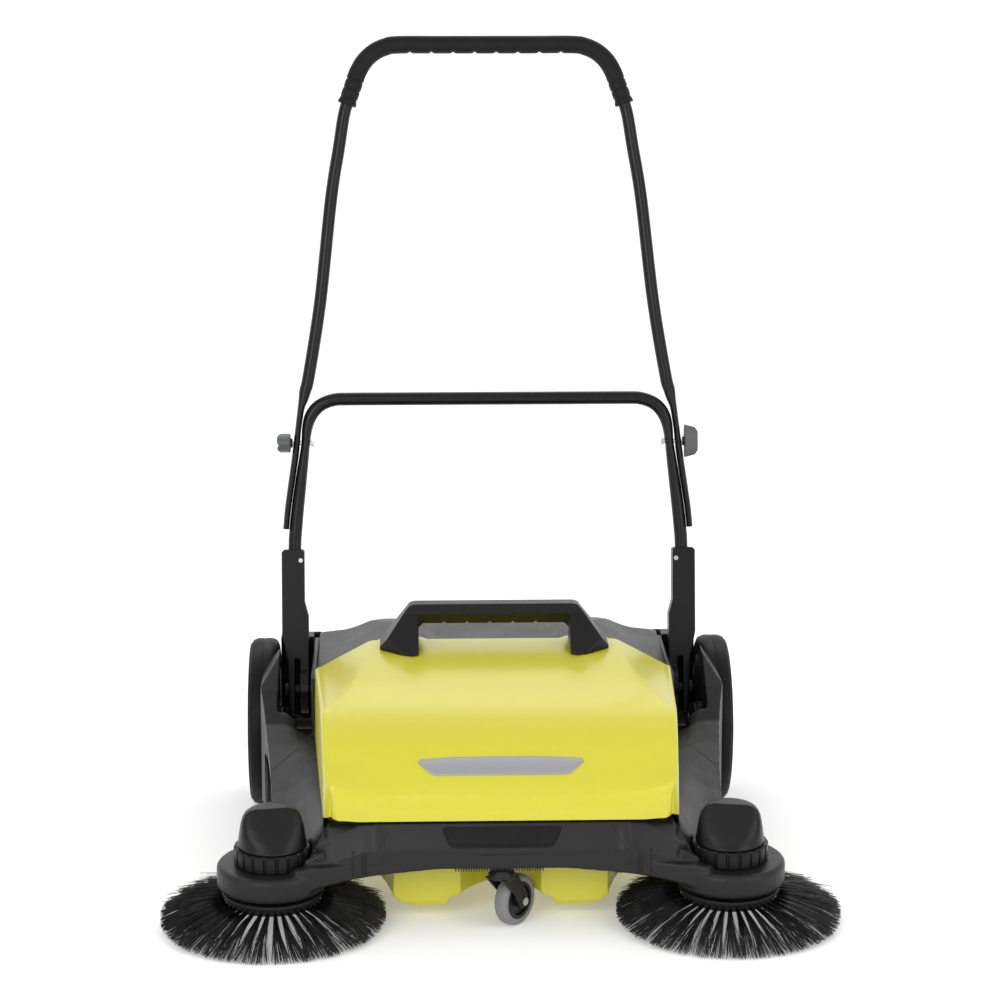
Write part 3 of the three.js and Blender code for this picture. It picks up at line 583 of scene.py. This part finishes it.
frame_nodes = ["side_frame_left", "front_bar", "side_frame_right"]
chassis = joined_copy("frame_moulding", frame_nodes, 2.0, 6, 0.5, [arm_block(s) for s, _ in SIDES])
for v in chassis.data.vertices:
    ax = abs(v.co.x) / MM
    # the arm keeps to its slope, and the bearing plate stays below the hood
    if 160 < ax < 222 and v.co.y < -264 * MM:
        v.co.z = min(v.co.z, arm_top(ax, v.co.y / MM) * MM)
    if 236 < ax < 252 and v.co.z > PLATE_TOP * MM:
        v.co.z = (PLATE_TOP + (v.co.z / MM - PLATE_TOP) * 0.2) * MM
finish_piece(chassis, "chassis", "black_plastic", frame_nodes, sharp=None)
for side, name in SIDES:
    ear = soft_copy(f"bracket_moulding_{name}", f"bracket_{name}", 0.9, 4, eared)
    finish_piece(ear, "lower_handle", "satin_plastic", [f"bracket_{name}"], sharp=None)
    knob = soft_copy(f"knob_{name}", f"wing_knob_{name}", 0.8, 4, waisted)
    finish_piece(knob, f"wing_{name}", "grey_plastic", [f"wing_knob_{name}"], sharp=None)
finish_piece(soft_copy("hood_moulding", "roller_hood", 2.0, 5, winged, 0.6), "chassis",
             "satin_plastic", ["roller_hood"], sharp=None)

skin = BVHTree.FromPolygons([v.co / MM for v in chassis.data.vertices],
                            [tuple(p.vertices) for p in chassis.data.polygons])


def bead(points, direction, across, height, sides=6):
    """Thin raised line laid on the chassis skin along points seen in a direction."""
    laid = []
    d = Vector(direction).normalized()
    for a, b in zip(points, points[1:]):
        a, b = Vector(a), Vector(b)
        n = max(1, int((b - a).length / 3))
        for k in range(n + 1):
            hit = skin.ray_cast(a + (b - a) * k / n - d * 400, d)
            if hit[0] is not None:
                laid.append((hit[0], hit[1]))
    if len(laid) < 2:
        return [], []
    rings = []
    for k, (co, normal) in enumerate(laid):
        run = (laid[min(len(laid) - 1, k + 1)][0] - laid[max(0, k - 1)][0]).normalized()
        side_v = run.cross(normal).normalized()
        up = side_v.cross(run).normalized()
        rings.append([co + side_v * (across * math.cos(q)) + up * (height * math.sin(q))
                      for q in (2 * math.pi * i / sides for i in range(sides))])
    return sweep(rings)


def gathered(parts):
    verts, faces = [], []
    for v, f in parts:
        start = len(verts)
        verts += v
        faces += [tuple(i + start for i in face) for face in f]
    return verts, faces


FRONT, DOWN = (0, 1, 0), (0, 0, -1)
parts = []
for s in (1, -1):
    for x in (170, 174, 186):
        parts.append(bead([(s * x, -330, 79), (s * x, -330, 108)], FRONT, 1.1, 1.0))
    parts.append(bead([(s * 141, -330, 130), (s * 153, -330, 112)], FRONT, 0.35, 0.35))
    parts.append(bead([(s * 263, 8, 0), (s * 298, -44, 0), (s * 297, -80, 0)], DOWN, 0.5, 0.45))
verts, faces = gathered([q for q in parts if q[0]])
piece("frame_lines", verts, faces, "chassis", "black_plastic", sharp=None)

TOOTH_PITCH, UPPER_TEETH, LOWER_TEETH = 3.3, 24, 34
parts = []
for k in range(UPPER_TEETH):
    x = -26 + TOOTH_PITCH * k
    parts.append(bead([(x, -330, 101.6), (x, -330, 103.6)], FRONT, 0.9, 0.8, 4))
for k in range(LOWER_TEETH):
    x = -58 + TOOTH_PITCH * k
    y = -314.5
    parts.append(([(x - 1, y, 85), (x + 1, y, 85), (x + 1, y + 3, 85), (x - 1, y + 3, 85),
                   (x - 0.6, y + 0.5, 80.6), (x + 0.6, y + 0.5, 80.6), (x + 0.6, y + 2.5, 80.6),
                   (x - 0.6, y + 2.5, 80.6)],
                  [(0, 1, 2, 3), (4, 5, 6, 7), (0, 1, 5, 4), (1, 2, 6, 5), (2, 3, 7, 6), (3, 0, 4, 7)]))
verts, faces = gathered([q for q in parts if q[0]])
piece("bar_teeth", verts, faces, "chassis", "black_plastic", sharp=30)

pad = rounded_profile([(-76, 135), (-64, 111), (64, 111), (76, 135)], 7, 5)


def pad_at(u, v, lift):
    y = -300 - (140 - v) * 15 / 32
    return (u, y - 0.906 * lift, v + 0.424 * lift)


rings = []
for inset, lift in ((0, -1), (0, 1.4), (0.8, 2.2), (2.2, 2.2), (3.0, 1.3)):
    rings.append([pad_at(u * (1 - inset / 75), v + (123 - v) * inset / 12, lift) for u, v in pad])
parts = [sweep(rings)]
for row in range(6):
    for k in range(40):
        u, v = -68 + 3.5 * k + (1.75 if row % 2 else 0), 114 + 3.2 * row
        if abs(u) > 56 + (v - 112) * 0.6:
            continue
        ring = [pad_at(u + du, v + dv, 1.2) for du, dv in ((-1, 0), (0, -0.9), (1, 0), (0, 0.9))]
        top = pad_at(u, v, 2.0)
        parts.append((ring + [top], [(0, 1, 2, 3), (0, 1, 4), (1, 2, 4), (2, 3, 4), (3, 0, 4)]))
verts, faces = gathered(parts)
piece("bumper_pad", verts, faces, "chassis", "black_rubber", ["front_pad"], sharp=30)

# ---- handle tubes ----

ROUND_LOW, ROUND_UP, GRIP_R = (9.2, 9.2), (8.75, 8.75), 12.5


def both_halves(points):
    return points + [(-p[0],) + tuple(p[1:]) for p in reversed(points)]


low_path = [(274.5, 134) + ROUND_LOW, (274.5, 202) + ROUND_LOW, (272.9, 228) + ROUND_LOW,
            (270.3, 255, 9, 9.4), (267.2, 280, 8.5, 9.6), (264, 305, 7.8, 9.8), (260.6, 330, 6.9, 10),
            (258.2, 350, 6.3, 10),
            (256, 370, 7.4, 9.8), (252, 385, 8.7, 9.4), (246, 395.3) + ROUND_LOW, (238, 403) + ROUND_LOW,
            (228, 408.2) + ROUND_LOW, (216, 411.3) + ROUND_LOW, (200, 412) + ROUND_LOW,
            (120, 412) + ROUND_LOW, (40, 412) + ROUND_LOW]
verts, faces = sweep(planar_tube(smooth_path(both_halves(low_path), 5)))
piece("lower_loop", verts, faces, "lower_handle", "black_tube", ["lower_tube"], HANDLE)

up_path = [(286.8, 228, 4.3, 10), (284.2, 255, 4.5, 10), (280.65, 280, 4.6, 10), (276.9, 305, 4.75, 10),
           (273.2, 330, 4.85, 10), (270.7, 350, 4.7, 10), (268.6, 370, 4.4, 10), (264.6, 398, 5, 10),
           (261.3, 411, 6.8, 9.4), (258.4, 424, 8.4, 8.9),
           (253, 446) + ROUND_UP, (236, 552) + ROUND_UP, (220, 695) + ROUND_UP, (208, 770) + ROUND_UP,
           (200, 818) + ROUND_UP, (187.5, 856) + ROUND_UP, (181, 874) + ROUND_UP, (171.5, 890) + ROUND_UP,
           (158, 902.5) + ROUND_UP, (142, 910) + ROUND_UP, (124, 913) + ROUND_UP, (60, 913) + ROUND_UP,
           (10, 913) + ROUND_UP]
verts, faces = sweep(planar_tube(smooth_path(both_halves(up_path), 5)))
piece("upper_loop", verts, faces, "upper_handle", "black_tube", ["upper_tube"], HANDLE)

grip_path = [(197, 829), (192.5, 842), (187.5, 856), (181, 874), (171.5, 890), (158, 902.5), (142, 910),
             (124, 913), (60, 913), (10, 913)]
grip_path = [(x, z, GRIP_R, GRIP_R) for x, z in grip_path]
NOTCH_STEP = 30.6


def gripped(path):
    out = []
    length = 0.0
    total = sum((path[i + 1] - path[i]).to_2d().length for i in range(len(path) - 1))
    for i, p in enumerate(path):
        if i:
            length += (p - path[i - 1]).to_2d().length
        from_end = min(length, total - length)
        r = GRIP_R
        for groove in (9, 22, 35):
            r -= 1.1 * math.exp(-((from_end - groove) / 1.3) ** 2)
        if from_end < 4:
            r += 0.9
        out.append((p[0], p[1], r, r))
    return out


path = gripped(smooth_path(both_halves(grip_path), 1.2))
rings = planar_tube(path, 36)
for ring, p in zip(rings, path):
    if p[1] > 905:
        near = min(abs(p[0] - NOTCH_STEP * (k + 0.5)) for k in range(-4, 4))
        cut = 2.2 * math.exp(-(near / 2.4) ** 2)
        for i, q in enumerate(ring):
            down = max(0.0, (p[1] - q[2]) / GRIP_R)
            ring[i] = (q[0], q[1] * (1 - 0.06 * down * (cut > 0.2)), q[2] + cut * down)
verts, faces = sweep(rings)
piece("grip", verts, faces, "upper_handle", "black_rubber", ["grip_sleeve"], HANDLE)

# ---- main wheels ----

for side, name in SIDES:
    place = WHEEL if side > 0 else MIRROR @ WHEEL
    turned(f"tread_{name}", [(94.3, 298), (108, 298), (115.2, 301), (118, 308), (118, 317.2),
                             (117.2, 317.6), (117.2, 319.4), (118, 319.8), (118, 328), (115.4, 335),
                             (112, 336.4), (111.4, 338), (108, 339), (94.3, 339)],
           128, f"wheel_{name}", "tyre_rubber", [f"tyre_{name}"], place, "X", 2.5)
    turned(f"wheel_disc_{name}", [(6.3, 296.5), (22, 296.5), (24, 316), (89.5, 318), (91, 300), (93.9, 300),
                                  (93.9, 337), (91, 337), (89, 325), (50, 321), (26, 322), (26, 336.5),
                                  (6.3, 336.5)],
           96, f"wheel_{name}", "satin_plastic", [f"rim_{name}"], place, "X", 1.2)
    turned(f"wheel_cap_{name}", [(0, 336.9), (25, 336.9), (25, 338), (23.5, 339.6), (16, 340.6), (0, 340.8)],
           72, f"wheel_{name}", "satin_plastic", [f"hub_cap_{name}"], place, "X")

# ---- roller ----

rng = random.Random(11)
lines = []
ROWS, TUFTS = 8, 44
for row in range(ROWS):
    for t in range(TUFTS):
        x = -226 + 452 * t / (TUFTS - 1)
        a0 = 2 * math.pi * row / ROWS + abs(x) / 226 * 0.9
        for _ in range(11):
            dx, da = rng.gauss(0, 1.3), rng.gauss(0, 0.028)
            fx, fa = rng.gauss(0, 3.6), rng.gauss(0, 0.05)
            tip = ROLLER_R - 0.6 - rng.random() * 2.5
            pts = []
            for r, f in ((37.5, 0), (58, 0.45), (tip, 1)):
                a = a0 + da + fa * f
                x1 = max(-231.5, min(231.5, x + dx + fx * f))
                pts.append(Vector((x1, ROLLER_Y + r * math.cos(a), ROLLER_Z + r * math.sin(a))))
            lines.append(pts)
verts, faces = filaments(lines, 0.5)
piece("roller_tufts", verts, faces, "roller", "bristle", ["roller_bristles"], sharp=None)

# ---- side brushes ----

TUFTS, STRANDS = 42, 64
RIBS = 20
RIB = [(-0.44, 0), (-0.42, 0.1), (-0.35, 0.92), (-0.32, 1), (-0.1, 1), (0.1, 1), (0.32, 1), (0.35, 0.92),
       (0.42, 0.1), (0.44, 0)]        # (part of one pitch, share of the rib height)
CAP_YAW = 10                          # degrees, flat turned outwards
CAP = [(110.7, 43, 43, 43), (113, 43.2, 42.4, 43.2), (116, 42.6, 39.5, 42.8), (126, 41.2, 31, 41.5),
       (138, 39.3, 20.5, 39), (147, 37, 12.6, 36), (153, 33.5, 7.4, 32), (157, 28, 3.9, 26),
       (159, 20, 2.2, 18)]
for side, name in SIDES:
    rng = random.Random(23 + side)
    place = brush_frame(side)
    lines = []
    for t in range(TUFTS):
        a0 = 2 * math.pi * (t + 0.08 * rng.uniform(-1, 1)) / TUFTS
        bend = rng.gauss(0, 0.02)
        curl = rng.uniform(-0.02, 0.02)
        for _ in range(STRANDS):
            q, ro = 2 * math.pi * rng.random(), math.sqrt(rng.random())
            ou, ov = ro * math.cos(q), ro * math.sin(q)
            tip_r = BRUSH_R - 0.5 - abs(rng.gauss(0, 2.6))
            flare = ou * 0.062 + rng.gauss(0, 0.012) + bend
            rise = max(0, ov) * 11 + abs(rng.gauss(0, 3.0))
            if rng.random() < 0.05:
                rise += rng.uniform(3, 12)
                flare += rng.uniform(-0.06, 0.06)
            pts = []
            for f in (0, 0.3, 0.65, 1):
                r = 61 + (tip_r - 61) * f
                a = a0 + ou * 2.2 / 63 * (1 - 0.2 * f) + flare * f ** 1.5 + curl * math.sin(math.pi * f)
                z = 41 + ov * 2.4 * (1 - f) + (10.6 + rise - 41) * f + 3.5 * math.sin(math.pi * f)
                pts.append(Vector((r * math.cos(a), r * math.sin(a), z)))
            lines.append(pts)
    verts, faces = filaments(lines, 0.5)
    piece(f"sweep_tufts_{name}", verts, faces, f"brush_{name}", "bristle", [f"brush_bristles_{name}"], place,
          None)
    turned(f"brush_plate_{name}", [(5.3, 38), (59.7, 38), (59.7, 47.3), (64, 47.3), (64, 52), (24, 52),
                                   (20, 54), (20, 74), (5.3, 74)], 96, f"brush_{name}", "black_plastic",
           [f"brush_hub_{name}"], place, "Z", 1.0)

    # height adjuster: ribbed ring and cap with a slanted flat
    sections = []
    for z, scale, inner in ((88.4, 0.972, 45), (89.6, 1.0, 45.6), (108.6, 1.0, 45.6), (110.3, 0.96, 44.4)):
        ring = []
        for i in range(RIBS):
            for step, out in RIB:
                a = 2 * math.pi * (i + step) / RIBS
                r = inner + out * (48 * scale - inner)
                ring.append((r * math.cos(a), r * math.sin(a), z))
        sections.append(ring)
    verts, faces = sweep(sections)
    piece(f"adjuster_grip_{name}", verts, faces, f"adjuster_{name}", "satin_plastic",
          [f"adjuster_ring_{name}"], place, 25)

    # cap: round at its rim, its front a broad slanted flat, drawn as sections with rising height
    rings = []
    for z, wide, fore, aft in CAP:
        ring = []
        for k in range(96):
            a = 2 * math.pi * k / 96
            c, sn = math.cos(a), math.sin(a)
            power = 1 - 0.42 * ease(z, 111, 135) * (sn < 0)
            ring.append((wide * math.copysign(abs(c) ** power, c),
                         (fore if sn < 0 else aft) * math.copysign(abs(sn) ** power, sn), z))
        rings.append(ring)
    verts, faces = sweep(rings)
    mesh = mesh_from("cap", verts, faces, place @ turn(-CAP_YAW * side, "Z"))
    obj = bpy.data.objects.new(f"adjuster_knob_{name}", mesh)
    evaluated(obj, ("REMESH", {"mode": "VOXEL", "voxel_size": 0.9 * MM}),
              ("SMOOTH", {"factor": 0.5, "iterations": 5}))
    finish_piece(obj, f"adjuster_{name}", "satin_plastic", [f"adjuster_cap_{name}"], None)

# ---- castor ----

finish_piece(soft_copy("castor_yoke", "castor_fork", 0.7, 3), "castor_swivel", "black_plastic",
             ["castor_fork"], sharp=None)
AXLE = CASTOR @ Matrix.Translation((0, CASTOR_TRAIL, CASTOR_R))
turned("castor_tread", [(23.8, -9.5), (29, -9.5), (32, -7), (33, -3), (33, 3), (32, 7), (29, 9.5),
                        (23.8, 9.5)], 72, "castor_wheel", "grey_rubber", ["castor_tyre"], AXLE, "X", 1.5)

# ---- CAD nodes shown as they are, with their procedural finish ----

SLOT_OF = {}
for m in frame["record"]["materials"]:
    for node in m.get("nodes", []):
        SLOT_OF[node] = m["slot"]
for node, obj in NODES.items():
    slot = SLOT_OF.get(node)
    if slot is None and obj.data.materials:
        slot = obj.data.materials[0].name.split(".")[0]
    obj.data.materials.clear()
    pin = node.startswith("pivot_pin")
    obj.data.materials.append(DARK_STEEL if pin else MATS.get(slot, MATS["black_plastic"]))

# ---- stage ----

verts, faces = [], []
WIDE, BACK, FRONT_Y, RISE, STEPS = 30.0, 3.2, -30.0, 6.0, 12
profile = [(FRONT_Y, 0.0)]
profile += [(BACK + 1.5 * math.sin(math.pi / 2 * k / STEPS), 1.5 - 1.5 * math.cos(math.pi / 2 * k / STEPS))
            for k in range(STEPS + 1)]
profile.append((BACK + 1.5, RISE))
for y, z in profile:
    verts += [(-WIDE, y, z), (WIDE, y, z)]
for k in range(len(profile) - 1):
    faces.append((2 * k, 2 * k + 1, 2 * k + 3, 2 * k + 2))
floor_mesh = bpy.data.meshes.new("floor")
floor_mesh.from_pydata(verts, [], faces)
for p in floor_mesh.polygons:
    p.use_smooth = True
floor = bpy.data.objects.new("floor", floor_mesh)
bpy.context.scene.collection.objects.link(floor)
paper = material("paper", (0.90, 0.90, 0.90), 0.8, 200, 0.02, 0.004, 3)
paper.node_tree.nodes["Principled BSDF"].inputs["Emission Color"].default_value = (1, 1, 1, 1)
paper.node_tree.nodes["Principled BSDF"].inputs["Emission Strength"].default_value = 0.22
floor_mesh.materials.append(paper)
floor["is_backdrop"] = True

world = bpy.data.worlds.new("studio")
bpy.context.scene.world = world
world.use_nodes = True
world.node_tree.nodes["Background"].inputs["Color"].default_value = (1, 1, 1, 1)
world.node_tree.nodes["Background"].inputs["Strength"].default_value = 0.8


def softbox(name, place, aim, width, height, power):
    data = bpy.data.lights.new(name, "AREA")
    data.shape = "RECTANGLE"
    data.size, data.size_y, data.energy = width, height, power
    lamp = bpy.data.objects.new(name, data)
    lamp.location = place
    lamp.rotation_mode = "QUATERNION"
    lamp.rotation_quaternion = (Vector(aim) - Vector(place)).to_track_quat("-Z", "Y")
    bpy.context.scene.collection.objects.link(lamp)


softbox("key", (-1.5, -3.2, 1.9), (0, 0, 0.3), 2.2, 1.8, 42)
softbox("fill", (2.2, -2.2, 1.6), (0, 0, 0.3), 1.6, 2.2, 22)
softbox("back", (0.0, 2.2, 2.6), (0, 0, 0.6), 3.0, 1.4, 18)

CAMERA_AT = (-0.11948, -3.91077, 1.28165)
CAMERA_LOOKS = (0.031776, 0.979597, -0.198443)
LENS = 108.72

scene = bpy.context.scene
scene.view_settings.view_transform = "Standard"
cam_data = bpy.data.cameras.new("camera")
cam_data.sensor_width = 36
cam_data.lens = LENS
cam = bpy.data.objects.new("camera", cam_data)
cam.location = CAMERA_AT
cam.rotation_mode = "QUATERNION"
cam.rotation_quaternion = Vector(CAMERA_LOOKS).to_track_quat("-Z", "Y")
scene.collection.objects.link(cam)
scene.camera = cam

low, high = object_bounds()
